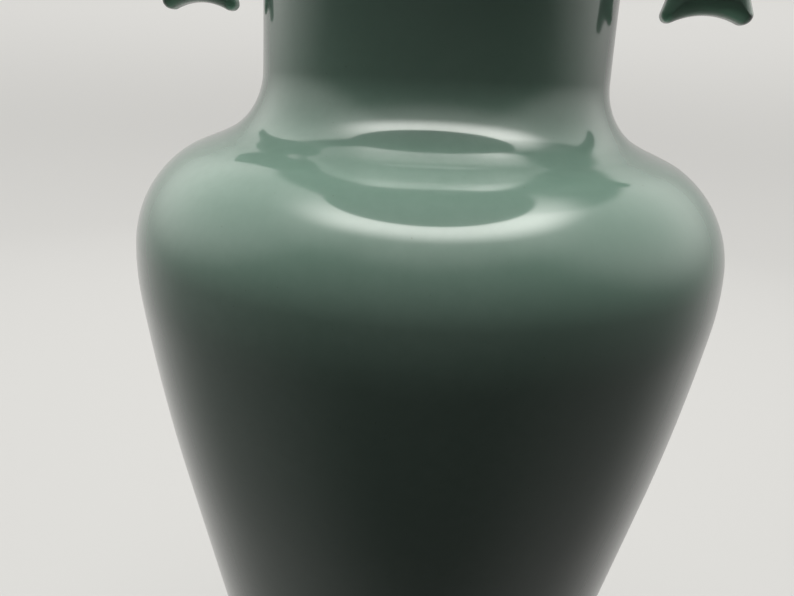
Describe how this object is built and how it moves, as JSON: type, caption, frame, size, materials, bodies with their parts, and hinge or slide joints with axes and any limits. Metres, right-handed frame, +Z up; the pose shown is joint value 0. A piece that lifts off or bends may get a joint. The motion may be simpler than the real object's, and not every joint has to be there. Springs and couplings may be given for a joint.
{
  "type": "porcelain vase",
  "caption": "Tall celadon-glazed porcelain vase with a wide neck, round shoulder, tapering body and fork-tailed strap handles on the neck.",
  "frame": {"origin": "centre of the foot on the surface the vase stands on", "axes": "+Z up along the axis of the vase, +X towards the right handle, -Y towards the viewer"},
  "size_m": [0.2, 0.2, 0.4845],
  "materials": {
    "glaze": "glossy celadon glaze over porcelain",
    "biscuit": "matte unglazed porcelain"
  },
  "bodies": {
    "root": {"foot_ring": "biscuit", "base_disc": "glaze", "lower_body": "glaze", "upper_body": "glaze", "shoulder": "glaze", "neck": "glaze", "mouth_rim": "glaze", "right_strap": "glaze", "right_tail": "glaze", "right_bridge": "glaze", "right_upper_pad": "glaze", "right_lower_pad": "glaze", "left_strap": "glaze", "left_tail": "glaze", "left_bridge": "glaze", "left_upper_pad": "glaze", "left_lower_pad": "glaze"}
  },
  "joints": []
}
